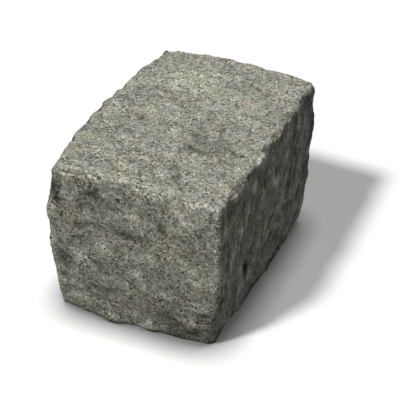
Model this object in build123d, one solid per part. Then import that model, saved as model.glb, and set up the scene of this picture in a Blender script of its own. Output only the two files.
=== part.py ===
from build123d import *
import os

# A granite sett: one block of stone, split on five sides and laid on its flat bed.
# Millimetres. Z is up, Y runs along the length and X across the width.
# The origin is the middle of the nominal block on the bed plane, Z = 0.

# Nominal block, from which the split faces wander
length = 230.0
width = 155.0
height = 160.0

# How far a side or an end stands proud of the nominal block where its shares say 1,
# and the same for the walked face on top
side_swell = 10.0
top_swell = 5.0

# How far wear has bevelled the arrises, round the walked face and down the front right
# corner. The others are as sharp as the split left them.
worn_bevel = 3.2

# How far the rough block stands clear of the proudest point that a face may reach
spare = 8.0
# How far the rough block and each split face run past the nominal block
overrun = side_swell + spare
# How closely a split face keeps to its points
slack = 0.05

# How far each face stands out or in at evenly spaced places, as shares of its swell,
# chosen by eye. Rows go up from the bed, or from the front end to the back one on top.
# Columns go from left to right, as seen by someone who looks at the face from outside.
front_shares = [
    [-0.9, -0.45, -0.35, -0.6, -0.55, -0.8, -1.0],
    [-0.7, -0.25, -0.3, -0.25, -0.4, -0.25, -0.6],
    [-0.6, -0.1, -0.2, 0.0, 0.0, 0.1, -0.2],
    [-0.3, -0.15, -0.1, 0.05, 0.15, 0.3, 0.1],
    [-0.1, -0.1, -0.25, 0.0, 0.1, 0.2, 0.2],
    [-0.2, -0.05, -0.1, 0.15, 0.15, 0.25, 0.1],
    [0.1, 0.0, 0.0, 0.0, 0.1, 0.1, 0.1],
]
right_shares = [
    [-0.9, -0.7, -0.65, -0.4, -0.5, -0.3, -0.4, -0.6, -0.7],
    [-0.3, -0.3, 0.0, -0.15, -0.1, 0.0, -0.3, -0.2, -0.25],
    [0.1, 0.0, -0.05, 0.25, 0.1, 0.4, 0.2, -0.1, 0.1],
    [0.3, 0.35, 0.1, 0.4, 0.35, 0.3, 0.45, 0.2, 0.2],
    [0.3, 0.5, 0.3, 0.25, 0.45, 0.35, 0.3, 0.1, 0.2],
    [0.4, 0.35, 0.55, 0.5, 0.25, 0.4, 0.6, 0.2, 0.2],
    [0.5, 0.5, 0.5, 0.5, 0.5, 0.4, 0.3, 0.15, 0.0],
]
back_shares = [
    [-1.0, -0.8, -0.9, -0.7, -0.9, -0.8, -1.0],
    [-0.6, -0.4, -0.5, -0.3, -0.5, -0.6, -0.6],
    [-0.1, -0.2, 0.0, -0.1, 0.0, -0.3, -0.4],
    [0.0, 0.2, 0.3, 0.1, 0.2, 0.1, -0.2],
    [0.2, 0.1, 0.3, 0.4, 0.1, 0.2, 0.0],
    [0.0, 0.3, 0.3, 0.5, 0.5, 0.2, 0.1],
    [0.0, 0.3, 0.5, 0.6, 0.7, 0.5, 0.2],
]
left_shares = [
    [0.4, 0.5, 0.5, 0.6, 0.5, 0.4, 0.5, 0.4, 0.5],
    [0.5, 0.5, 0.6, 0.7, 0.7, 0.7, 0.6, 0.7, 0.7],
    [0.4, 0.6, 0.7, 0.8, 0.9, 0.8, 0.8, 0.8, 0.9],
    [0.5, 0.5, 0.8, 0.8, 0.9, 1.0, 0.9, 0.9, 0.8],
    [0.3, 0.6, 0.8, 1.0, 0.9, 0.9, 1.0, 0.8, 0.9],
    [0.1, 0.5, 0.8, 0.9, 1.0, 0.8, 0.8, 0.6, 0.5],
    [0.1, 0.4, 0.7, 0.8, 0.9, 0.8, 0.7, 0.35, 0.0],
]
top_shares = [
    [0.0, 0.1, 0.1, 0.1, 0.0, 0.0, 0.0],
    [0.3, 0.2, 0.3, 0.2, 0.2, 0.1, 0.0],
    [0.5, 0.4, 0.3, 0.4, 0.3, 0.2, 0.1],
    [0.5, 0.5, 0.4, 0.5, 0.4, 0.2, 0.1],
    [0.6, 0.6, 0.5, 0.5, 0.4, 0.3, 0.1],
    [0.6, 0.6, 0.6, 0.5, 0.4, 0.3, 0.1],
    [0.5, 0.6, 0.6, 0.6, 0.5, 0.2, 0.1],
    [0.4, 0.6, 0.7, 0.7, 0.6, 0.4, 0.1],
    [0.3, 0.5, 0.7, 0.8, 0.7, 0.5, 0.2],
]


def with_overrun(values, span):
    """The places of the values, evenly over the span, with the end values carried past it."""
    step = span / (len(values) - 1)
    places = [-overrun] + [i * step for i in range(len(values))] + [span + overrun]
    return list(zip(places, values[:1] + values + values[-1:]))


def cut_split_face(block, plane, run, rise, swell, shares):
    """The block without what stands outside one split face.

    The plane lies on the nominal face, with its X along the run, its Y up the rise and
    its origin at the middle of the face's lower edge.
    """
    points = [
        [
            plane.from_local_coords(Vector(x - run / 2, y, swell * share))
            for x, share in with_overrun(row, run)
        ]
        for y, row in with_overrun(shares, rise)
    ]
    face = Face.make_surface_from_array_of_points(points, tol=slack, min_deg=3, max_deg=3)
    waste = Solid.extrude(face, plane.z_dir * (side_swell + overrun) * 2)
    return block - waste


def make_block():
    """The rough block, cut back to its five split faces, with sharp arrises."""
    walked_face = Plane(origin=(0, -length / 2, height), x_dir=(1, 0, 0), z_dir=(0, 0, 1))
    front = Plane(origin=(0, -length / 2, 0), x_dir=(1, 0, 0), z_dir=(0, -1, 0))
    right = Plane(origin=(width / 2, 0, 0), x_dir=(0, 1, 0), z_dir=(1, 0, 0))
    back = Plane(origin=(0, length / 2, 0), x_dir=(-1, 0, 0), z_dir=(0, 1, 0))
    left = Plane(origin=(-width / 2, 0, 0), x_dir=(0, -1, 0), z_dir=(-1, 0, 0))
    block = Box(
        width + 2 * overrun,
        length + 2 * overrun,
        height + overrun,
        align=(Align.CENTER, Align.CENTER, Align.MIN),
    )
    block = cut_split_face(block, front, width, height, side_swell, front_shares)
    block = cut_split_face(block, right, length, height, side_swell, right_shares)
    block = cut_split_face(block, back, width, height, side_swell, back_shares)
    block = cut_split_face(block, left, length, height, side_swell, left_shares)
    block = cut_split_face(block, walked_face, width, length, top_swell, top_shares)
    return block.solids()[0]


def facing(body, x, y, z):
    """The face of the body that looks most to one side."""
    side = Vector(x, y, z)
    return max(body.faces(), key=lambda face: face.area * face.normal_at(face.center()).dot(side))


def wear_arrises(body):
    """The block with its walked arrises and one upright bevelled, and the rest left sharp."""
    walked = facing(body, 0, 0, 1).edges()
    front = facing(body, 0, -1, 0).edges()
    right = facing(body, 1, 0, 0).edges()
    upright = [edge for edge in right if any(edge.is_same(other) for other in front)]
    return body.chamfer(worn_bevel, None, walked + upright)


def main():
    os.makedirs("parts", exist_ok=True)
    export_step(wear_arrises(make_block()), "parts/granite_sett.step")


if __name__ == "__main__":
    main()
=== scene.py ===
from math import cos, pi, radians, sin

import bmesh
import bpy
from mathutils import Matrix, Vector


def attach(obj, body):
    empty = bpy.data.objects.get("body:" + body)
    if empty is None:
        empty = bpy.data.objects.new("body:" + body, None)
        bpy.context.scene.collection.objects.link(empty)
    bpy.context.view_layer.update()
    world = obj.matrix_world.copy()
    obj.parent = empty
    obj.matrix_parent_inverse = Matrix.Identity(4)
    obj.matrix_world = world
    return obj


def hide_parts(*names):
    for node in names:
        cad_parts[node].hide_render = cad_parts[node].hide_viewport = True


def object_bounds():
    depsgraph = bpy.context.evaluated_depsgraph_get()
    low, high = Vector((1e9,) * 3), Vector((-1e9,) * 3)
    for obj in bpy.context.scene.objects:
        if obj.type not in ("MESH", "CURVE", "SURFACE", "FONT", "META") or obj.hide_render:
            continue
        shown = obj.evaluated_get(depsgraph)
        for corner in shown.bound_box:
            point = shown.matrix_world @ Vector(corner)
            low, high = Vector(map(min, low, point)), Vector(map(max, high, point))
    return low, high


bl_info = {
    "name": "Granite sett",
    "version": (1, 0, 0),
    "blender": (4, 5, 0),
    "location": "3D View > Sidebar > Sett",
    "description": "Dresses a split granite sett and lights it on a pale floor",
    "category": "Object",
}

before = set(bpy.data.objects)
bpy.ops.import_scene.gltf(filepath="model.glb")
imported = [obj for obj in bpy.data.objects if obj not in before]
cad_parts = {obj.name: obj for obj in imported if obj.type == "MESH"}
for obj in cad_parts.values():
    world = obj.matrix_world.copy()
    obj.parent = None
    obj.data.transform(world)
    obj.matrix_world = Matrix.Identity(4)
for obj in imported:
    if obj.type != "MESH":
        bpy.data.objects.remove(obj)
CAD_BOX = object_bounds()

STONE_NODE = "granite_sett"
BODY = "root"

# One millimetre in the scene's metres
MM = 0.001

# What the relief leaves on the stone's points for the material to read: how deep a point
# lies among its neighbours, in millimetres, then how near it is to an arris, how far it is
# part of the walked face and of a long side, how much paler a blotch makes it, the blotches
# being partly stains and partly painted light and shade, how far a chip has laid it bare,
# and how far it is part of the left side
MARKS = ("hollow", "arris", "walked", "flank", "blotch", "bare", "left")


class Value:
    """An output in a node tree. Each operation on it adds a Math node."""

    def __init__(self, graph, socket):
        self.graph = graph
        self.socket = socket

    def __add__(self, other):
        return self.graph.maths("ADD", self, other)

    def __radd__(self, other):
        return self.graph.maths("ADD", other, self)

    def __sub__(self, other):
        return self.graph.maths("SUBTRACT", self, other)

    def __rsub__(self, other):
        return self.graph.maths("SUBTRACT", other, self)

    def __mul__(self, other):
        return self.graph.maths("MULTIPLY", self, other)

    def __rmul__(self, other):
        return self.graph.maths("MULTIPLY", other, self)

    def __truediv__(self, other):
        return self.graph.maths("DIVIDE", self, other)

    def __rtruediv__(self, other):
        return self.graph.maths("DIVIDE", other, self)

    def __neg__(self):
        return self.graph.maths("MULTIPLY", self, -1)

    def __abs__(self):
        return self.graph.maths("ABSOLUTE", self)

    def most(self, other):
        """The greater of the two."""
        return self.graph.maths("MAXIMUM", self, other)


class Graph:
    """A node tree under construction."""

    def __init__(self, tree):
        self.tree = tree
        tree.nodes.clear()

    def node(self, kind, settings=None, inputs=None, output=0):
        """Adds a node: its settings first, then the values or links of its sockets."""
        made = self.tree.nodes.new(kind)
        for name, value in (settings or {}).items():
            if name == "stops":
                self.set_stops(made.color_ramp, value)
            else:
                setattr(made, name, value)
        for key, value in (inputs or {}).items():
            if isinstance(value, Value):
                self.tree.links.new(value.socket, made.inputs[key])
            else:
                made.inputs[key].default_value = value
        if made.outputs:
            return Value(self, made.outputs[output])

    def set_stops(self, ramp, stops):
        """The stops of a colour ramp, as places and colours."""
        while len(ramp.elements) > 1:
            ramp.elements.remove(ramp.elements[-1])
        for number, (place, colour) in enumerate(stops):
            element = ramp.elements[0] if number == 0 else ramp.elements.new(place)
            element.position = place
            element.color = (*colour, 1)

    def maths(self, operation, *numbers):
        return self.node("ShaderNodeMath", {"operation": operation}, dict(enumerate(numbers)))

    def vector(self, operation, *values):
        settings = {"operation": operation}
        return self.node("ShaderNodeVectorMath", settings, dict(enumerate(values)))

    def scaled(self, vector, scale):
        inputs = {"Vector": vector, "Scale": scale}
        return self.node("ShaderNodeVectorMath", {"operation": "SCALE"}, inputs)

    def length(self, vector):
        return self.node("ShaderNodeVectorMath", {"operation": "LENGTH"}, {0: vector}, "Value")

    def axis(self, vector, letter):
        return self.node("ShaderNodeSeparateXYZ", {}, {0: vector}, "XYZ".index(letter))

    def noise(self, place, size, detail=2.0, roughness=0.5, distortion=0.0, output=0):
        """Noise from 0 to 1, whose forms are about the given size."""
        inputs = {"Vector": place, "Scale": 1 / size}
        inputs.update({"Detail": detail, "Roughness": roughness, "Distortion": distortion})
        return self.node("ShaderNodeTexNoise", {"noise_dimensions": "3D"}, inputs, output)

    def push(self, place, size, reach):
        """A push to any side, never more than the reach, that turns over the given size."""
        sides = self.noise(place, size, output="Color")
        return self.scaled(self.vector("SUBTRACT", sides, (0.5, 0.5, 0.5)), reach)

    def cells(self, place, size):
        """A value of its own, from 0 to 1, for each crystal of about the given size."""
        inputs = {"Vector": place, "Scale": 1 / size}
        colour = self.node("ShaderNodeTexVoronoi", {"feature": "F1"}, inputs, "Color")
        return self.axis(colour, "X")

    def ramp(self, value, low, high):
        """The value from 0 at low to 1 at high, eased at both ends."""
        settings = {"interpolation_type": "SMOOTHSTEP", "clamp": True}
        return self.node("ShaderNodeMapRange", settings, {"Value": value, 1: low, 2: high})

    def grey(self, value):
        return self.node("ShaderNodeCombineColor", {}, {0: value, 1: value, 2: value})

    def mix(self, factor, one, other, blend="MIX"):
        """Blends two colours. A Mix node's sockets 6 and 7 and its output 2 are for colours."""
        settings = {"data_type": "RGBA", "blend_type": blend}
        return self.node("ShaderNodeMix", settings, {0: factor, 6: one, 7: other}, 2)

    def multiply(self, factor, one, other):
        """Multiplies one colour by another, as far as the factor says."""
        return self.mix(factor, one, other, "MULTIPLY")

    def blurred(self, value, times, kind):
        """The value averaged with its neighbours' on the mesh, over and over."""
        inputs = {"Value": value, "Iterations": times}
        return self.node("GeometryNodeBlurAttribute", {"data_type": kind}, inputs)

    def stored(self, geometry, name, value):
        """The geometry with the value kept on its points, under a name."""
        settings = {"data_type": "FLOAT", "domain": "POINT"}
        inputs = {"Geometry": geometry, "Name": name, "Value": value}
        return self.node("GeometryNodeStoreNamedAttribute", settings, inputs)


class SettStone(bpy.types.PropertyGroup):
    """The relief that splitting and wear leave on the stone."""

    facet: bpy.props.FloatProperty(
        name="Facet",
        description="Size of the mesh's squares, which carry the relief",
        default=1.5 * MM,
        unit="LENGTH",
    )
    proud: bpy.props.FloatProperty(
        name="Proud",
        description="How far the relief is moved out as a whole",
        default=0.2 * MM,
        unit="LENGTH",
    )
    form_depth: bpy.props.FloatProperty(
        name="Form depth",
        description="How far the placed hollows and bulges go in or out",
        default=1.7 * MM,
        unit="LENGTH",
    )
    swell_depth: bpy.props.FloatProperty(
        name="Swell depth",
        description="Depth of the broad hollows all over the split faces",
        default=2.8 * MM,
        unit="LENGTH",
    )
    swell_size: bpy.props.FloatProperty(
        name="Swell size",
        description="How wide the broad hollows are",
        default=30 * MM,
        unit="LENGTH",
    )
    groove_depth: bpy.props.FloatProperty(
        name="Groove depth",
        description="Depth of the upright grooves on the long sides",
        default=2.6 * MM,
        unit="LENGTH",
    )
    groove_size: bpy.props.FloatProperty(
        name="Groove size",
        description="Spacing of the upright grooves",
        default=9.5 * MM,
        unit="LENGTH",
    )
    grain_depth: bpy.props.FloatProperty(
        name="Grain depth",
        description="Depth of the coarse grain that the split leaves",
        default=0.5 * MM,
        unit="LENGTH",
    )
    grain_size: bpy.props.FloatProperty(
        name="Grain size",
        description="Size of the coarse grain",
        default=4.5 * MM,
        unit="LENGTH",
    )
    chip_depth: bpy.props.FloatProperty(
        name="Chip depth",
        description="Depth of the chips along the arrises",
        default=2.6 * MM,
        unit="LENGTH",
    )
    chip_size: bpy.props.FloatProperty(
        name="Chip size",
        description="Spacing of the chips",
        default=18 * MM,
        unit="LENGTH",
    )
    top_share: bpy.props.FloatProperty(
        name="Top relief",
        description="Share of the sides' relief that wear has left on the walked face",
        default=0.3,
        subtype="FACTOR",
    )
    seed: bpy.props.FloatProperty(
        name="Seed",
        description="Moves the relief's noise to other forms",
        default=3.0,
    )


class SettFinish(bpy.types.PropertyGroup):
    """The minerals of the granite, what has settled on it, and tints of painted shade."""

    crystal: bpy.props.FloatProperty(
        name="Crystal",
        description="Size of the large crystals",
        default=2.6 * MM,
        unit="LENGTH",
    )
    fleck: bpy.props.FloatProperty(
        name="Fleck",
        description="Size of the small flecks",
        default=1.35 * MM,
        unit="LENGTH",
    )
    feldspar: bpy.props.FloatVectorProperty(
        name="Feldspar",
        description="Colour of the pale crystals",
        default=(0.426, 0.430, 0.356),
        subtype="COLOR",
    )
    quartz: bpy.props.FloatVectorProperty(
        name="Quartz",
        description="Colour of the grey crystals",
        default=(0.268, 0.275, 0.221),
        subtype="COLOR",
    )
    mica: bpy.props.FloatVectorProperty(
        name="Mica",
        description="Colour of the dark specks",
        default=(0.054, 0.056, 0.035),
        subtype="COLOR",
    )
    fresh: bpy.props.FloatVectorProperty(
        name="Fresh crystal",
        description="Colour of the crystals that chips have laid bare on the arrises",
        default=(0.72, 0.71, 0.62),
        subtype="COLOR",
    )
    warm: bpy.props.FloatVectorProperty(
        name="Warm patches",
        description="Tint of the patches with more pink feldspar",
        default=(1.07, 0.995, 0.98),
        subtype="COLOR",
    )
    cool: bpy.props.FloatVectorProperty(
        name="Cool patches",
        description="Tint of the patches with more dark mica",
        default=(0.80, 0.81, 0.86),
        subtype="COLOR",
    )
    olive: bpy.props.FloatVectorProperty(
        name="Olive",
        description="Tint of the patches that lichen and rust have yellowed",
        default=(1.022, 1.0, 0.965),
        subtype="COLOR",
    )
    slate: bpy.props.FloatVectorProperty(
        name="Slate",
        description="Tint of the patches between them",
        default=(0.975, 0.99, 1.0),
        subtype="COLOR",
    )
    # Partly dirt, partly painted shade: it darkens every face but the walked one
    sides: bpy.props.FloatVectorProperty(
        name="Sides",
        description="Tint of the split sides, which feet haven't worn clean",
        default=(0.770, 0.773, 0.771),
        subtype="COLOR",
    )
    film: bpy.props.FloatVectorProperty(
        name="Film",
        description="Colour of the film that veils the grain on the long sides",
        default=(0.268, 0.276, 0.255),
        subtype="COLOR",
    )
    # Partly dirt, partly painted shade in the hollows, at the foot and on the left side
    dirt_and_painted_shade: bpy.props.FloatVectorProperty(
        name="Dirt",
        description="Tint of what has settled in the hollows",
        default=(0.58, 0.59, 0.55),
        subtype="COLOR",
    )


class SettStage(bpy.types.PropertyGroup):
    """Floor, light and camera."""

    sun_share: bpy.props.FloatProperty(
        name="Sun share",
        description="Share of the light on a level surface that comes from the one lamp",
        default=0.634,
        subtype="FACTOR",
    )
    sun_azimuth: bpy.props.FloatProperty(
        name="Lamp azimuth",
        description="Where the lamp stands, from the front end towards the left side",
        default=radians(26),
        subtype="ANGLE",
    )
    sun_elevation: bpy.props.FloatProperty(
        name="Lamp elevation",
        description="How high the lamp stands",
        default=radians(52.2),
        subtype="ANGLE",
    )
    sun_width: bpy.props.FloatProperty(
        name="Lamp width",
        description="Angle that the lamp fills, which softens the shadow",
        default=radians(8),
        subtype="ANGLE",
    )
    contact_reach: bpy.props.FloatProperty(
        name="Contact shadow",
        description="How far the dark round the foot of the stone reaches over the floor",
        default=38 * MM,
        unit="LENGTH",
    )
    hidden_reach: bpy.props.FloatProperty(
        name="Hidden sky",
        description="How far the floor looks for what hides the sky from it",
        default=1.0,
        unit="LENGTH",
    )
    camera_azimuth: bpy.props.FloatProperty(
        name="Camera azimuth",
        description="Where the camera stands, from the front end towards the right side",
        default=radians(24.35),
        subtype="ANGLE",
    )
    camera_elevation: bpy.props.FloatProperty(
        name="Camera elevation",
        description="How high the camera stands",
        default=radians(35.15),
        subtype="ANGLE",
    )
    camera_distance: bpy.props.FloatProperty(
        name="Camera distance",
        description="From the camera to the point it looks at",
        default=1.126,
        unit="LENGTH",
    )
    camera_target: bpy.props.FloatVectorProperty(
        name="Camera target",
        description="The point the camera looks at",
        default=(0.0129, -0.005, 0.080),
        subtype="TRANSLATION",
        unit="LENGTH",
    )
    camera_lens: bpy.props.FloatProperty(
        name="Lens",
        description="Focal length in millimetres on a 36 mm sensor",
        default=108,
        unit="CAMERA",
    )


NUMBER = "NodeSocketFloat"
POINT = "NodeSocketVector"
GEOMETRY = "NodeSocketGeometry"


def new_tree(name, inputs, output):
    """An empty Geometry Nodes tree, with its inputs as values and one named output."""
    tree = bpy.data.node_groups.new(name, "GeometryNodeTree")
    for socket_name, kind in inputs:
        tree.interface.new_socket(socket_name, in_out="INPUT", socket_type=kind)
    tree.interface.new_socket(output[0], in_out="OUTPUT", socket_type=output[1])
    graph = Graph(tree)
    entry = tree.nodes.new("NodeGroupInput")
    return tree, graph, {socket.name: Value(graph, socket) for socket in entry.outputs}


# Forms that can be told apart on the front end and on the right side. Each row has the
# middle of the form across and up its face, as shares of the box, then its half length and
# half breadth as shares of the height, the turn of its length in degrees, and how far it
# stands out, as a share of the form depth. Hollows have a share below zero.
front_form_shares = [
    (0.30, 0.79, 0.17, 0.085, 0, -1.0),
    (0.49, 0.73, 0.16, 0.090, -4, 1.2),
    (0.67, 0.76, 0.05, 0.060, 0, -0.6),
    (0.79, 0.80, 0.13, 0.090, 0, 0.8),
    (0.59, 0.50, 0.08, 0.070, -50, 0.8),
    (0.31, 0.47, 0.10, 0.075, 0, 0.8),
    (0.18, 0.50, 0.08, 0.070, 0, -0.6),
    (0.21, 0.37, 0.14, 0.065, -38, 1.2),
    (0.34, 0.28, 0.11, 0.065, 0, 0.8),
    (0.54, 0.36, 0.11, 0.050, -40, 0.8),
    (0.82, 0.41, 0.11, 0.085, 0, 1.2),
    (0.66, 0.26, 0.09, 0.075, 0, 0.9),
    (0.88, 0.29, 0.08, 0.060, 0, 0.8),
    (0.80, 0.14, 0.09, 0.065, 0, 1.0),
    (0.67, 0.10, 0.12, 0.070, 0, -1.0),
    (0.16, 0.09, 0.12, 0.080, 10, 0.9),
    (0.80, 0.02, 0.17, 0.070, 0, -1.2),
    (0.36, 0.01, 0.09, 0.070, 0, 1.4),
    (0.56, 0.02, 0.08, 0.060, 0, 1.2),
    (0.03, 0.83, 0.07, 0.060, 90, -1.2),
    (0.03, 0.68, 0.08, 0.060, 90, 1.5),
    (0.03, 0.32, 0.26, 0.070, 90, 2.0),
]
right_form_shares = [
    (0.22, 0.56, 0.10, 0.028, 88, -1.2),
    (0.43, 0.78, 0.12, 0.034, 90, -1.2),
    (0.76, 0.70, 0.08, 0.030, 84, -1.0),
    (0.88, 0.66, 0.09, 0.034, 80, -1.2),
    (0.89, 0.47, 0.10, 0.040, 88, -1.2),
    (0.29, 0.32, 0.11, 0.030, 95, -1.2),
    (0.50, 0.40, 0.07, 0.034, 60, -1.2),
    (0.80, 0.32, 0.13, 0.034, 88, -1.0),
    (0.10, 0.29, 0.09, 0.044, 80, -1.0),
    (0.74, 0.84, 0.12, 0.030, 88, 1.2),
    (0.19, 0.68, 0.10, 0.034, 90, 1.0),
    (0.31, 0.83, 0.07, 0.044, 80, 1.2),
    (0.55, 0.69, 0.09, 0.060, 0, 0.8),
    (0.60, 0.36, 0.09, 0.030, 65, 1.0),
    (0.30, 0.03, 0.35, 0.060, 0, -1.8),
    (0.66, 0.04, 0.22, 0.050, 0, -1.8),
    (0.97, 0.76, 0.25, 0.070, 90, 0.8),
    (0.15, 0.92, 0.10, 0.070, 0, 1.4),
    (0.38, 0.93, 0.09, 0.060, 0, 1.4),
    (0.26, 0.95, 0.05, 0.035, 90, -1.0),
    (0.93, 0.95, 0.09, 0.060, 0, 0.9),
]

# Pale and dark blotches on the walked face, the front end and the right side, partly stains
# and partly painted light and shade, with the same columns. The last one is how much paler
# the blotch is, and below zero it is darker.
top_blotch_shares = [
    (0.71, 0.36, 0.20, 0.120, -8, -0.9),
    (0.62, 0.40, 0.06, 0.035, 0, -1.0),
    (0.67, 0.31, 0.14, 0.030, -18, -1.6),
    (0.86, 0.28, 0.07, 0.026, -5, -1.4),
    (0.84, 0.35, 0.05, 0.026, -40, -1.0),
    (0.63, 0.17, 0.05, 0.026, 0, -1.5),
    (0.67, 0.12, 0.035, 0.032, 0, -1.8),
    (0.20, 0.11, 0.030, 0.045, 0, -1.2),
    (0.63, 0.62, 0.028, 0.040, 0, -0.5),
    (0.38, 0.08, 0.05, 0.035, 0, -0.9),
    (0.24, 0.69, 0.16, 0.050, 0, 0.9),
    (0.48, 0.15, 0.10, 0.040, 0, -0.9),
    (0.03, 0.42, 0.06, 0.030, 90, -1.5),
    (0.59, 0.52, 0.036, 0.032, 0, -0.9),
    (0.86, 0.46, 0.030, 0.038, 0, -0.9),
    (0.11, 0.74, 0.040, 0.026, 0, -1.2),
    (0.70, 0.80, 0.06, 0.030, -10, -0.8),
    (0.38, 0.80, 0.22, 0.200, 0, 0.9),
    (0.31, 0.78, 0.035, 0.050, 0, 1.4),
    (0.48, 0.85, 0.040, 0.030, 0, 1.2),
    (0.68, 0.53, 0.05, 0.040, 0, 1.0),
    (0.67, 0.23, 0.12, 0.040, -5, 0.7),
]
front_blotch_shares = [
    (0.29, 0.83, 0.12, 0.045, -5, -1.0),
    (0.45, 0.66, 0.16, 0.045, -8, -1.3),
    (0.25, 0.64, 0.16, 0.035, 0, -1.3),
    (0.18, 0.55, 0.06, 0.040, 0, -0.8),
    (0.32, 0.39, 0.07, 0.035, -30, -1.1),
    (0.10, 0.36, 0.06, 0.090, 0, -1.5),
    (0.07, 0.83, 0.09, 0.055, 90, -2.3),
    (0.65, 0.95, 0.06, 0.040, 0, 1.5),
    (0.95, 0.82, 0.12, 0.040, 90, 1.1),
    (0.08, 0.76, 0.05, 0.028, -55, -1.7),
    (0.38, 0.19, 0.18, 0.080, 0, -0.7),
    (0.76, 0.10, 0.17, 0.080, 0, -2.0),
    (0.67, 0.17, 0.07, 0.040, 0, -1.2),
    (0.90, 0.23, 0.06, 0.055, 0, -1.6),
    (0.67, 0.79, 0.028, 0.050, 0, -1.0),
    (0.50, 0.79, 0.11, 0.060, 0, 1.0),
    (0.82, 0.89, 0.14, 0.080, 0, 1.9),
    (0.76, 0.79, 0.12, 0.050, 0, 0.9),
    (0.97, 0.92, 0.05, 0.060, 0, 1.5),
    (0.95, 0.04, 0.06, 0.050, 0, 1.5),
    (0.66, 0.03, 0.16, 0.045, -3, -1.6),
    (0.35, 0.03, 0.10, 0.030, 0, -1.0),
    (0.61, 0.54, 0.035, 0.065, 20, 1.0),
    (0.32, 0.54, 0.07, 0.035, -10, 1.0),
    (0.85, 0.50, 0.08, 0.070, 0, 1.7),
    (0.21, 0.45, 0.10, 0.035, -40, 0.8),
    (0.33, 0.33, 0.06, 0.030, 0, 1.0),
    (0.54, 0.40, 0.07, 0.028, -40, 0.9),
    (0.88, 0.35, 0.06, 0.035, 0, 1.1),
    (0.80, 0.18, 0.05, 0.050, 0, 1.2),
    (0.18, 0.13, 0.07, 0.060, -20, 1.2),
    (0.66, 0.33, 0.030, 0.035, 0, 0.9),
]
right_blotch_shares = [
    (0.22, 0.56, 0.10, 0.028, 88, -1.3),
    (0.28, 0.61, 0.06, 0.040, 90, -0.8),
    (0.43, 0.80, 0.10, 0.044, 90, -1.6),
    (0.36, 0.69, 0.06, 0.028, 90, -1.0),
    (0.29, 0.32, 0.09, 0.034, 95, -1.6),
    (0.50, 0.40, 0.06, 0.040, 70, -1.6),
    (0.63, 0.65, 0.06, 0.034, 90, -1.0),
    (0.69, 0.78, 0.05, 0.028, 90, -1.0),
    (0.76, 0.66, 0.10, 0.028, 88, -1.2),
    (0.88, 0.66, 0.08, 0.034, 80, -2.0),
    (0.89, 0.47, 0.08, 0.046, 90, -2.0),
    (0.85, 0.33, 0.09, 0.034, 95, -1.7),
    (0.80, 0.28, 0.11, 0.050, 80, -1.5),
    (0.66, 0.20, 0.11, 0.050, 0, -1.1),
    (0.10, 0.29, 0.07, 0.055, 80, -1.4),
    (0.19, 0.67, 0.07, 0.034, 90, 1.5),
    (0.12, 0.58, 0.07, 0.050, 30, 1.3),
    (0.30, 0.84, 0.04, 0.034, 0, 1.6),
    (0.74, 0.82, 0.12, 0.026, 88, 2.2),
    (0.53, 0.83, 0.04, 0.034, 90, 1.2),
    (0.54, 0.68, 0.07, 0.044, 0, 1.2),
    (0.36, 0.44, 0.08, 0.034, 60, 1.0),
    (0.60, 0.35, 0.07, 0.028, 65, 1.2),
    (0.09, 0.46, 0.09, 0.055, 90, 0.9),
    (0.96, 0.74, 0.18, 0.040, 90, -1.8),
    (0.94, 0.99, 0.06, 0.060, 0, 1.6),
    (0.15, 0.95, 0.08, 0.045, 0, 1.8),
    (0.38, 0.96, 0.08, 0.040, 0, 1.6),
]

# Where the arrises of the front end are chipped down to fresh crystal, with the same columns
bare_shares = [
    (0.12, 0.99, 0.030, 0.020, 0, 0.8),
    (0.27, 0.99, 0.050, 0.022, 0, 1.0),
    (0.55, 0.98, 0.040, 0.025, 0, 1.0),
    (0.64, 0.97, 0.030, 0.020, 0, 1.0),
    (0.71, 0.98, 0.050, 0.025, 0, 1.2),
    (0.82, 0.96, 0.060, 0.030, 0, 1.2),
    (0.965, 0.66, 0.200, 0.020, 90, 0.7),
    (0.965, 0.35, 0.120, 0.016, 90, 0.5),
]

# The lines that run down the long sides lean back: their slope in the middle of the stone,
# how much it grows for each metre towards the back end, and how much that growth grows for
# each metre towards the right side
LEAN = 0.24
LEAN_GROWTH = 1.7
LEAN_GROWTH_RIGHT = 6

# The sizes that the relief's tree takes from the stone's settings
RELIEF_SIZES = (
    "Proud",
    "Form depth",
    "Swell depth",
    "Swell size",
    "Groove depth",
    "Groove size",
    "Grain depth",
    "Grain size",
    "Chip depth",
    "Chip size",
    "Top share",
    "Seed",
)
# The way that the seed moves the noise
SEED_WAY = (1, 0.7, 1.3)
# How far at most the edges of placed forms stray, and over what share of the swell size
STRAY = 14 * MM
STRAY_SHARE = 0.6
# How fine the flakes are beside the swells, and how far their crests stand out of them
FLAKE_FINENESS = 0.8
CREST_LEVEL = 0.1
# How much deeper the bottoms of the grooves are cut
GROOVE_CUT = 0.25
# How much the grooves are drawn out: what is left of the noise's change across and up
GROOVE_SQUEEZE = (0.5, 0.17)
# The shares that are taken off the swell of the front end, where forms are placed, off the
# grooves and the grain at an arris, and off the rounding of a sharp arris
FRONT_SWELL_LOSS = 0.5
ARRIS_GROOVE_LOSS = 0.8
ARRIS_GRAIN_LOSS = 0.6
SHARP_ROUNDING_LOSS = 0.7
# How many times the mesh is averaged to find its sides and arrises, and to find hollows
FINE_BLURS = 8
BROAD_BLURS = 24
# How near to the CAD box a side's relief starts to move in, and the share of what stands
# nearer that it moves
BOX_MARGIN = 3 * MM
BOX_SHARE = 0.75


def leaning(graph, place, across, up):
    """The place with its changes across and up made smaller by the given shares.

    Noise on a long side then runs in drawn-out lines, which lean back.
    """
    x, y, z = (graph.axis(place, letter) for letter in "XYZ")
    lean = y * (x * LEAN_GROWTH_RIGHT + LEAN_GROWTH) + LEAN
    inputs = {0: x * across, 1: y - z * lean, 2: z * up}
    return graph.node("ShaderNodeCombineXYZ", {}, inputs)


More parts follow.
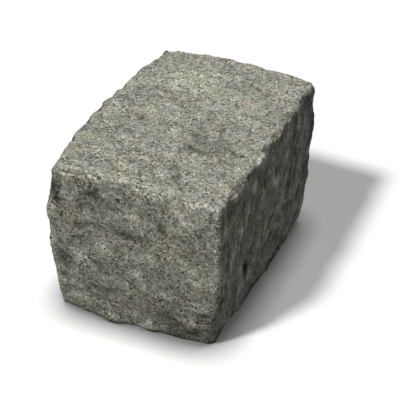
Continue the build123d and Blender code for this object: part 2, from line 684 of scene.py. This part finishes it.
def form_tree():
    """One form: full at its middle, eased to nothing round a turned ellipse."""
    middle = ["Across", "Up", "Middle across", "Middle up"]
    names = middle + ["Half length", "Half breadth", "Turn", "Proud"]
    inputs = [(name, NUMBER) for name in names]
    tree, graph, given = new_tree("Placed form", inputs, ("Form", NUMBER))
    beside = given["Across"] - given["Middle across"]
    above = given["Up"] - given["Middle up"]
    cosine = graph.maths("COSINE", given["Turn"])
    sine = graph.maths("SINE", given["Turn"])
    along = (beside * cosine + above * sine) / given["Half length"]
    athwart = (above * cosine - beside * sine) / given["Half breadth"]
    form = graph.ramp(along * along + athwart * athwart, 1, 0) * given["Proud"]
    graph.node("NodeGroupOutput", {}, {0: form})
    return tree


def placed_forms(graph, one_form, place, letters, shares):
    """The forms or blotches of one face. Two letters name the axes across it and up it."""
    low, high = ([corner["XYZ".index(letter)] for letter in letters] for corner in CAD_BOX)
    height = CAD_BOX[1][2] - CAD_BOX[0][2]
    across, up = (graph.axis(place, letter) for letter in letters)
    total = 0
    for share_across, share_up, length, breadth, turn, proud in shares:
        inputs = {
            "Across": across,
            "Up": up,
            "Middle across": low[0] + share_across * (high[0] - low[0]),
            "Middle up": low[1] + share_up * (high[1] - low[1]),
            "Half length": length * height,
            "Half breadth": breadth * height,
            "Turn": radians(turn),
            "Proud": proud,
        }
        total = graph.node("GeometryNodeGroup", {"node_tree": one_form}, inputs) + total
    return total


def all_placed(graph, given, place, ground, masks):
    """The placed forms, the blotches and the bare crystal, each as one value for all sides."""
    one_form = form_tree()

    def placed(position, letters, shares):
        return placed_forms(graph, one_form, position, letters, shares)

    front, right, top = masks["front"], masks["right"], masks["top"]
    wander = graph.push(ground, given["Swell size"] * STRAY_SHARE, STRAY)
    strayed = graph.vector("ADD", place, wander)
    forms = front * placed(strayed, "XZ", front_form_shares)
    forms = forms + right * placed(strayed, "YZ", right_form_shares)
    blotch = front * placed(strayed, "XZ", front_blotch_shares)
    blotch = blotch + right * placed(strayed, "YZ", right_blotch_shares)
    blotch = blotch + top * placed(strayed, "XY", top_blotch_shares)
    return forms, blotch, front * placed(place, "XZ", bare_shares)


def side_masks(graph, normal):
    """How far each point is part of each side, from 0 to 1, told from the way it looks."""
    across, along, up = (graph.axis(normal, letter) for letter in "XYZ")
    return {
        "flank": graph.ramp(abs(across), 0.2, 0.8) * graph.ramp(abs(along), 0.5, 0.15),
        "right": graph.ramp(across, 0.3, 0.8),
        "left": graph.ramp(-across, 0.35, 0.75),
        "left arris": graph.ramp(-across, 0.2, 0.5),
        "front": graph.ramp(-along, 0.3, 0.8),
        "top": graph.ramp(up, 0.5, 0.9),
        "top arris": graph.ramp(up, 0.15, 0.4),
        "bed": graph.ramp(-up, 0.5, 0.9),
    }


def relief_height(graph, given, place, ground, masks, arris, forms):
    """How far each point stands out: swells, placed forms, grooves, grain and chips."""
    swell_size = given["Swell size"]
    swell = graph.noise(ground, swell_size, detail=3, roughness=0.5, distortion=0.3) - 0.5
    flake = graph.noise(graph.scaled(ground, FLAKE_FINENESS), swell_size, detail=1.5) - 0.5
    swell = swell + CREST_LEVEL - abs(flake)
    drawn_out = leaning(graph, place, *GROOVE_SQUEEZE)
    furrow = graph.noise(drawn_out, given["Groove size"], detail=3, roughness=0.55)
    groove = furrow - 0.5 - graph.ramp(furrow, 0.46, 0.3) * GROOVE_CUT
    grain = graph.noise(ground, given["Grain size"], detail=3, roughness=0.6) - 0.5
    chip = graph.noise(ground, given["Chip size"], detail=4, roughness=0.65)
    chip = graph.ramp(chip, 0.48, 0.6)

    # Noise less a half reaches a half to either side, so it is doubled to fill a depth
    swell = swell * 2 * given["Swell depth"] * (1 - masks["front"] * FRONT_SWELL_LOSS)
    groove = groove * 2 * given["Groove depth"] * masks["flank"]
    relief = swell + forms * given["Form depth"]
    relief = relief + groove * (1 - arris * ARRIS_GROOVE_LOSS)
    relief = relief + grain * 2 * given["Grain depth"] * (1 - arris * ARRIS_GRAIN_LOSS)
    relief = relief * (1 - masks["top"] * (1 - given["Top share"]))
    return relief - chip * arris * masks["top arris"] * given["Chip depth"]


def within_box(graph, place, given):
    """The place, or the nearest one to it that the CAD box holds."""
    raised = graph.vector("MAXIMUM", place, given["Lowest corner"])
    return graph.vector("MINIMUM", raised, given["Highest corner"])


def split_relief_tree(material):
    """Pushes the surface in and out along its normals, as a split and wear leave it."""
    inputs = [("Geometry", GEOMETRY)] + [(name, NUMBER) for name in RELIEF_SIZES]
    inputs += [("Lowest corner", POINT), ("Highest corner", POINT)]
    tree, graph, given = new_tree("Split relief", inputs, ("Geometry", GEOMETRY))

    # Near an arris neighbours look different ways, which makes their averaged normal short
    place = graph.node("GeometryNodeInputPosition")
    averaged = graph.blurred(graph.node("GeometryNodeInputNormal"), FINE_BLURS, "FLOAT_VECTOR")
    arris = graph.ramp(graph.length(averaged), 0.985, 0.93)
    normal = graph.vector("NORMALIZE", averaged)
    masks = side_masks(graph, normal)
    ground = graph.vector("ADD", place, graph.scaled(SEED_WAY, given["Seed"]))
    forms, blotch, bare = all_placed(graph, given, place, ground, masks)
    relief = relief_height(graph, given, place, ground, masks, arris, forms)

    # Where a side stands close to the CAD box, its relief moves in, so that no crest is cut flat
    sideways = graph.vector("MULTIPLY", normal, (1, 1, 0))
    probe = graph.vector("ADD", place, graph.scaled(sideways, BOX_MARGIN))
    overhang = graph.vector("SUBTRACT", probe, within_box(graph, probe, given))
    relief = relief - graph.length(overhang) * BOX_SHARE
    relief = relief * (1 - masks["bed"]) + given["Proud"]

    hollow = (graph.blurred(relief, BROAD_BLURS, "FLOAT") - relief) * (1 / MM)
    values = (hollow, arris, masks["top"], masks["flank"], blotch, bare, masks["left"])
    marked = given["Geometry"]
    for name, value in zip(MARKS, values):
        marked = graph.stored(marked, name, value)

    # The arrises are rounded, but those along the long sides stay sharper
    averaged_place = graph.blurred(place, FINE_BLURS, "FLOAT_VECTOR")
    inwards = graph.vector("SUBTRACT", averaged_place, place)
    sharp = masks["flank"].most(masks["left arris"])
    rounding = arris * (1 - sharp * SHARP_ROUNDING_LOSS)
    rounded = graph.vector("ADD", place, graph.scaled(inwards, rounding))
    moved = graph.vector("ADD", rounded, graph.scaled(normal, relief))
    inputs = {"Geometry": marked, "Position": within_box(graph, moved, given)}
    shaped = graph.node("GeometryNodeSetPosition", {}, inputs)
    smooth = graph.node("GeometryNodeSetShadeSmooth", {}, {"Geometry": shaped})
    whole = graph.node("GeometryNodeRealizeInstances", {}, {"Geometry": smooth})
    inputs = {"Geometry": whole, "Material": material}
    graph.node("NodeGroupOutput", {}, {0: graph.node("GeometryNodeSetMaterial", {}, inputs)})
    return tree


# The crystals: the sizes of their dust and of the patches of strong flecks, what makes their
# tone, the shares of quartz and of feldspar that the darkest and the palest have, how much
# of the fresh colour pale flecks have, and how far flecks are pushed about
DUST_SIZE = 1.2 * MM
PATCH_SIZE = 8 * MM
KIND_TONE = 0.45
DUST_TONE = 0.95
TONE_DROP = 0.195
DARKEST_QUARTZ = 0.72
PALEST_FELDSPAR = 1.25
PALE_FLECK = 0.6
FLECK_PUSH = 0.4

# The light and dark of every side: the sizes of its clouds and banks, how strong they are,
# the shade without them, how strong crests and blotches are, and how much stronger blotches
# are on the long sides
CLOUD_SIZE = 11 * MM
BANK_SIZE = 34 * MM
CLOUD_SHADE = 1.2
BANK_SHADE = 0.6
LEAST_SHADE = 0.14
CREST_SHADE = 0.12
BLOTCH_SHADE = 0.29
BLOTCH_SHADE_MORE = 0.06

# The lines on the long sides: their sizes, how much they are drawn out across and up, and
# how strong they are. Clefts show as dark gashes of painted shade in some stretches, and as
# pale ledges with painted highlights in the breaks between them.
STREAK_SIZE = 4.5 * MM
SCRATCH_SIZE = 2 * MM
CLEFT_SIZE = 7 * MM
BREAK_SIZE = 12 * MM
STREAK_SQUEEZE = (0.4, 0.14)
SCRATCH_SQUEEZE = (0.5, 0.14)
CLEFT_SQUEEZE = (0.4, 0.22)
STREAK_SHADE = 1.6
SCRATCH_SHADE = 1.6
BANK_LINE_SHADE = 0.5
LINE_DROP = 1.85
GASH_SHADE = 0.4
LEDGE_SHADE = 0.45
LEDGE_PLACE = 0.1

# The sizes of the cool, rusty and warm patches
COOL_SIZE = 10 * MM
RUST_SIZE = 15 * MM
WARM_SIZE = 26 * MM

# The bare crystals: their size, that of the stretches of arris that show them, how strong
# such a stretch is beside a placed chip, how far either brings them out, and how much of
# the fresh colour they have
THREAD_SIZE = 2.2 * MM
NICK_SIZE = 13 * MM
NICK_SHARE = 0.7
BARE_THREAD = 0.22
BARE_FRESH = 0.85

# The painted shade in a band under the top arrises of the long sides: the heights where it
# starts, is full, starts to fade and has gone, and how dark it is
EAVES = (128 * MM, 150 * MM, 152 * MM, 160 * MM)
EAVES_SHADE = 0.4
# The heights below which the dirt and painted contact shadow at the foot are full, and
# above which there is none
FOOT = (1 * MM, 6 * MM)
# How strongly the film covers the long sides, and how strongly the dirt tint darkens the
# left one as painted shade
FILM_SHARE = 0.4
LEFT_PAINTED_SHADE = 0.9

# How rough the stone is, how much less its mica is, and how much it shines
ROUGHNESS = 0.78
MICA_SMOOTHNESS = 0.25
SHINE = 0.3
# The bump of the crystals: its depth and strength, how far pale ones stand out, and how
# far mica lies in
BUMP_DEPTH = 0.5 * MM
BUMP_STRENGTH = 0.6
BUMP_TONE = 0.5
BUMP_MICA = 0.5


def crystals(graph, look, place):
    """The colour of the minerals, how pale they are, how much is mica, and their bent places."""
    push = graph.push(place, look.crystal, look.crystal)
    bent = graph.vector("ADD", place, push)
    kind = graph.cells(bent, look.crystal)
    bent_more = graph.vector("ADD", bent, graph.scaled(push, FLECK_PUSH))
    fleck = graph.cells(bent_more, look.fleck)
    dust = graph.noise(place, DUST_SIZE, detail=2, roughness=0.6)
    tone = kind * KIND_TONE + dust * DUST_TONE - TONE_DROP
    stops = [
        (0.0, [DARKEST_QUARTZ * part for part in look.quartz]),
        (0.45, look.quartz),
        (0.75, look.feldspar),
        (1.0, [PALEST_FELDSPAR * part for part in look.feldspar]),
    ]
    colour = graph.node("ShaderNodeValToRGB", {"stops": stops}, {0: tone})
    # Between the patches, flecks are half as strong
    amount = graph.ramp(graph.noise(place, PATCH_SIZE, detail=2), 0.36, 0.64) * 0.5 + 0.5
    pale = graph.ramp(fleck, 0.19, 0.15) * amount
    speck = graph.ramp(fleck, 0.74, 0.78) * amount
    colour = graph.mix(pale * PALE_FLECK, colour, (*look.fresh, 1))
    colour = graph.mix(speck, colour, (*look.mica, 1))
    return colour, tone, speck, bent


def side_lines(graph, place, bank):
    """How much paler or darker the leaning lines make the long sides."""
    drawn_out = leaning(graph, place, *STREAK_SQUEEZE)
    streak = graph.noise(drawn_out, STREAK_SIZE, detail=3, roughness=0.55)
    drawn_out = leaning(graph, place, *SCRATCH_SQUEEZE)
    scratch = graph.noise(drawn_out, SCRATCH_SIZE, detail=2, distortion=0.4)
    drawn_out = leaning(graph, place, *CLEFT_SQUEEZE)
    cleft = graph.noise(drawn_out, CLEFT_SIZE, detail=2, distortion=0.8) - 0.5
    broken = graph.noise(place, BREAK_SIZE, detail=2)
    # Painted shade in the gashes, and painted highlights on the ledges
    gash = graph.ramp(abs(cleft), 0.05, 0.01) * graph.ramp(broken, 0.42, 0.56)
    ledge = graph.ramp(abs(cleft - LEDGE_PLACE), 0.045, 0.01) * graph.ramp(broken, 0.6, 0.46)
    lines = streak * STREAK_SHADE + scratch * SCRATCH_SHADE + bank * BANK_LINE_SHADE
    return lines - LINE_DROP - gash * GASH_SHADE + ledge * LEDGE_SHADE


def light_and_dark(graph, place, marks):
    """What the colour is multiplied by: clouds, blotches, lines and painted shade under arrises.
    """
    cloud = graph.noise(place, CLOUD_SIZE, detail=4, roughness=0.6)
    bank = graph.noise(place, BANK_SIZE, detail=3, roughness=0.55)
    flank = marks["flank"]
    shade = cloud * CLOUD_SHADE + bank * BANK_SHADE + LEAST_SHADE
    shade = shade * (1 + graph.ramp(marks["hollow"], -0.1, -1.0) * CREST_SHADE)
    # Blotches: partly stains, partly painted light and shade
    shade = shade * (1 + marks["blotch"] * (BLOTCH_SHADE + flank * BLOTCH_SHADE_MORE))
    shade = shade * (1 + side_lines(graph, place, bank) * flank)
    height = graph.axis(place, "Z")
    # A band of painted shade under the top arrises of the long sides, in patches
    eaves = graph.ramp(height, EAVES[0], EAVES[1]) * graph.ramp(height, EAVES[3], EAVES[2])
    return shade * (1 - flank * eaves * graph.ramp(bank, 0.42, 0.56) * EAVES_SHADE)


def stained(graph, look, place, marks, colour):
    """The colour under rust, duller sides and hollow dirt, both partly painted shade, and warm
    and cool patches.
    """
    rust = graph.ramp(graph.noise(place, RUST_SIZE, detail=3, roughness=0.6), 0.4, 0.6)
    colour = graph.multiply(1, colour, graph.mix(rust, (*look.slate, 1), (*look.olive, 1)))
    warm = graph.ramp(graph.noise(place, WARM_SIZE, detail=3, roughness=0.6), 0.56, 0.72)
    cool = graph.ramp(graph.noise(place, COOL_SIZE, detail=2, distortion=0.5), 0.37, 0.25)
    for amount, tint in (
        # The sides darker than the walked face: partly dirt, partly painted shade
        (1 - marks["walked"], look.sides),
        # Darker in the hollows: partly dirt, partly painted shade
        (graph.ramp(marks["hollow"], -0.1, 0.9), look.dirt_and_painted_shade),
        (warm * (1 - marks["flank"]), look.warm),
        (cool, look.cool),
    ):
        colour = graph.multiply(amount, colour, (*tint, 1))
    return colour


def granite(look):
    """Speckled grey-green granite: pale feldspar, grey quartz and dark mica."""
    material = bpy.data.materials.new("Granite")
    material.use_nodes = True
    graph = Graph(material.node_tree)
    place = graph.node("ShaderNodeTexCoord", output="Object")
    marks = {}
    for name in MARKS:
        marks[name] = graph.node("ShaderNodeAttribute", {"attribute_name": name}, output="Fac")

    colour, tone, speck, bent = crystals(graph, look, place)
    colour = graph.mix(marks["flank"] * FILM_SHARE, colour, (*look.film, 1))
    colour = graph.multiply(1, colour, graph.grey(light_and_dark(graph, place, marks)))
    colour = stained(graph, look, place, marks, colour)

    nicked = graph.ramp(graph.noise(place, NICK_SIZE, detail=2), 0.45, 0.65)
    nicked = marks["arris"] * nicked * NICK_SHARE
    thread = graph.noise(bent, THREAD_SIZE, detail=2)
    laid_bare = graph.ramp(thread + nicked.most(marks["bare"]) * BARE_THREAD, 0.66, 0.78)
    colour = graph.mix(laid_bare * BARE_FRESH, colour, (*look.fresh, 1))

    # The dirt tint lies twice on the foot, as dirt and painted contact shadow, and once on the
    # left side as painted shade
    foot = graph.ramp(graph.axis(place, "Z"), FOOT[1], FOOT[0])
    for darkened in (foot, foot, marks["left"] * LEFT_PAINTED_SHADE):
        colour = graph.multiply(darkened, colour, (*look.dirt_and_painted_shade, 1))

    height = tone * BUMP_TONE - speck * BUMP_MICA
    inputs = {"Strength": BUMP_STRENGTH, "Distance": BUMP_DEPTH, "Height": height}
    bump = graph.node("ShaderNodeBump", {}, inputs)
    inputs = {
        "Base Color": colour,
        "Roughness": ROUGHNESS - speck * MICA_SMOOTHNESS,
        "Normal": bump,
        "Specular IOR Level": SHINE,
    }
    shader = graph.node("ShaderNodeBsdfPrincipled", {}, inputs)
    graph.node("ShaderNodeOutputMaterial", {}, {"Surface": shader})
    return material


# Corners of the CAD's loose triangles that lie this close are one
SAME_PLACE = 0.01 * MM


def merged_copy(node, name):
    """A new object with a CAD node's mesh, its loose triangles joined up."""
    mesh = bpy.data.meshes.new(name)
    rough = bmesh.new()
    rough.from_mesh(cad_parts[node].data)
    bmesh.ops.remove_doubles(rough, verts=rough.verts, dist=SAME_PLACE)
    rough.to_mesh(mesh)
    rough.free()
    piece = bpy.data.objects.new(name, mesh)
    bpy.context.scene.collection.objects.link(piece)
    return piece


def settle(piece):
    """Turns the piece with its modifiers into a plain mesh."""
    evaluated = piece.evaluated_get(bpy.context.evaluated_depsgraph_get())
    plain = bpy.data.meshes.new_from_object(evaluated)
    piece.modifiers.clear()
    piece.data = plain
    plain.name = piece.name


def set_inputs(modifier, values):
    """The modifier's inputs, found by name and set by identifier."""
    for item in modifier.node_group.interface.items_tree:
        if item.item_type == "SOCKET" and item.in_out == "INPUT" and item.name in values:
            modifier[item.identifier] = values[item.name]


class SETT_OT_stone(bpy.types.Operator):
    """Splits and wears the block of stone"""

    bl_idname = "sett.stone"
    bl_label = "Split stone"

    def execute(self, context):
        settings = context.scene.sett_stone
        piece = merged_copy(STONE_NODE, "split_stone")
        remesh = piece.modifiers.new("Even facets", "REMESH")
        remesh.mode = "VOXEL"
        remesh.voxel_size = settings.facet
        relief = piece.modifiers.new("Relief", "NODES")
        relief.node_group = split_relief_tree(granite(context.scene.sett_finish))
        values = {"Lowest corner": CAD_BOX[0], "Highest corner": CAD_BOX[1]}
        # Each size of the tree is the setting of the same name
        for name in RELIEF_SIZES:
            values[name] = getattr(settings, name.lower().replace(" ", "_"))
        set_inputs(relief, values)
        settle(piece)
        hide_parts(STONE_NODE)
        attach(piece, BODY)
        return {"FINISHED"}


WHITE = (1, 1, 1, 1)
BLACK = (0, 0, 0, 1)
# The floor as the light that bounces off it meets it
DIM = (0.15, 0.15, 0.15, 1)
# How bright the open floor is, where white is 1
FLOOR_LEVEL = 0.99
# The contact shadow on the floor: the shares of open sky where it starts and where it is
# full, and the share of the light that it leaves there
SHADOW_START = 0.94
SHADOW_FULL = 0.45
SHADOW_LIGHT = 0.2
# How far the floor runs from its middle, and how wide the camera's sensor is in millimetres
FLOOR_REACH = 3.0
SENSOR = 36


def floor_material(stage):
    """White where the camera sees it, apart from the shadow, and dim for light that bounces."""
    material = bpy.data.materials.new("Floor")
    material.use_nodes = True
    graph = Graph(material.node_tree)
    black, dim, white = (
        graph.node("ShaderNodeBsdfDiffuse", {}, {"Color": colour})
        for colour in (BLACK, DIM, WHITE)
    )
    inputs = {"Color": WHITE, "Strength": FLOOR_LEVEL - stage.sun_share}
    sky = graph.node("ShaderNodeEmission", {}, inputs)
    clear, near = (
        graph.node("ShaderNodeAmbientOcclusion", {}, {"Distance": reach}, "AO")
        for reach in (stage.hidden_reach, stage.contact_reach)
    )
    # The sky that the stone hides is given back, so that the shadow is even
    given_back = graph.node("ShaderNodeMixShader", {}, {0: clear, 1: sky, 2: black})
    level = graph.node("ShaderNodeAddShader", {}, {0: white, 1: given_back})
    limits = {"From Min": SHADOW_FULL, "From Max": SHADOW_START, "To Min": SHADOW_LIGHT}
    open_sky = graph.node("ShaderNodeMapRange", {"clamp": True}, {"Value": near, **limits})
    lit = graph.node("ShaderNodeMixShader", {}, {0: open_sky, 1: black, 2: level})
    seen = graph.node("ShaderNodeLightPath", output="Is Camera Ray")
    both = graph.node("ShaderNodeMixShader", {}, {0: seen, 1: dim, 2: lit})
    graph.node("ShaderNodeOutputMaterial", {}, {"Surface": both})
    return material


def add_floor(stage):
    mesh = bpy.data.meshes.new("floor")
    half = FLOOR_REACH
    corners = [(-half, -half, 0), (half, -half, 0), (half, half, 0), (-half, half, 0)]
    mesh.from_pydata(corners, [], [(0, 1, 2, 3)])
    mesh.materials.append(floor_material(stage))
    floor = bpy.data.objects.new("floor", mesh)
    bpy.context.scene.collection.objects.link(floor)


def direction(azimuth, elevation):
    """The unit vector from the object towards a point of the room."""
    return Vector((sin(azimuth) * cos(elevation), -cos(azimuth) * cos(elevation), sin(elevation)))


def add_light(stage):
    """One lamp and a plain sky that light a level surface to 1 together."""
    world = bpy.data.worlds.new("Studio")
    world.use_nodes = True
    graph = Graph(world.node_tree)
    # The camera sees the sky as white
    seen = graph.node("ShaderNodeLightPath", output="Is Camera Ray")
    strength = 1 - stage.sun_share + seen * stage.sun_share
    sky = graph.node("ShaderNodeBackground", {}, {"Color": WHITE, "Strength": strength})
    graph.node("ShaderNodeOutputWorld", {}, {"Surface": sky})
    bpy.context.scene.world = world

    lamp = bpy.data.lights.new("Key", "SUN")
    lamp.angle = stage.sun_width
    lamp.energy = pi * stage.sun_share / sin(stage.sun_elevation)
    key = bpy.data.objects.new("Key", lamp)
    towards = direction(-stage.sun_azimuth, stage.sun_elevation)
    key.rotation_euler = towards.to_track_quat("Z", "Y").to_euler()
    bpy.context.scene.collection.objects.link(key)


def add_camera(stage):
    data = bpy.data.cameras.new("Camera")
    data.sensor_width = SENSOR
    data.lens = stage.camera_lens
    camera = bpy.data.objects.new("Camera", data)
    back = direction(stage.camera_azimuth, stage.camera_elevation)
    camera.location = Vector(stage.camera_target) + back * stage.camera_distance
    camera.rotation_euler = back.to_track_quat("Z", "Y").to_euler()
    bpy.context.scene.collection.objects.link(camera)
    bpy.context.scene.camera = camera


class SETT_OT_stage(bpy.types.Operator):
    """Puts the floor, the light and the camera in place"""

    bl_idname = "sett.stage"
    bl_label = "Set the stage"

    def execute(self, context):
        stage = context.scene.sett_stage
        add_floor(stage)
        add_light(stage)
        add_camera(stage)
        context.scene.view_settings.view_transform = "Standard"
        return {"FINISHED"}


class SETT_PT_panel(bpy.types.Panel):
    """The sett's settings and steps"""

    bl_label = "Granite sett"
    bl_idname = "SETT_PT_panel"
    bl_space_type = "VIEW_3D"
    bl_region_type = "UI"
    bl_category = "Sett"

    def draw(self, context):
        scene = context.scene
        for group in (scene.sett_stone, scene.sett_finish, scene.sett_stage):
            box = self.layout.box()
            for name in group.bl_rna.properties.keys():
                if name not in ("rna_type", "name"):
                    box.prop(group, name)
        self.layout.operator(SETT_OT_stone.bl_idname)
        self.layout.operator(SETT_OT_stage.bl_idname)


CLASSES = (SettStone, SettFinish, SettStage, SETT_OT_stone, SETT_OT_stage, SETT_PT_panel)


def register():
    for each in CLASSES:
        bpy.utils.register_class(each)
    bpy.types.Scene.sett_stone = bpy.props.PointerProperty(type=SettStone)
    bpy.types.Scene.sett_finish = bpy.props.PointerProperty(type=SettFinish)
    bpy.types.Scene.sett_stage = bpy.props.PointerProperty(type=SettStage)


def unregister():
    del bpy.types.Scene.sett_stage
    del bpy.types.Scene.sett_finish
    del bpy.types.Scene.sett_stone
    for each in reversed(CLASSES):
        bpy.utils.unregister_class(each)


def main():
    register()
    bpy.ops.sett.stage()
    bpy.ops.sett.stone()


if __name__ == "__main__":
    main()
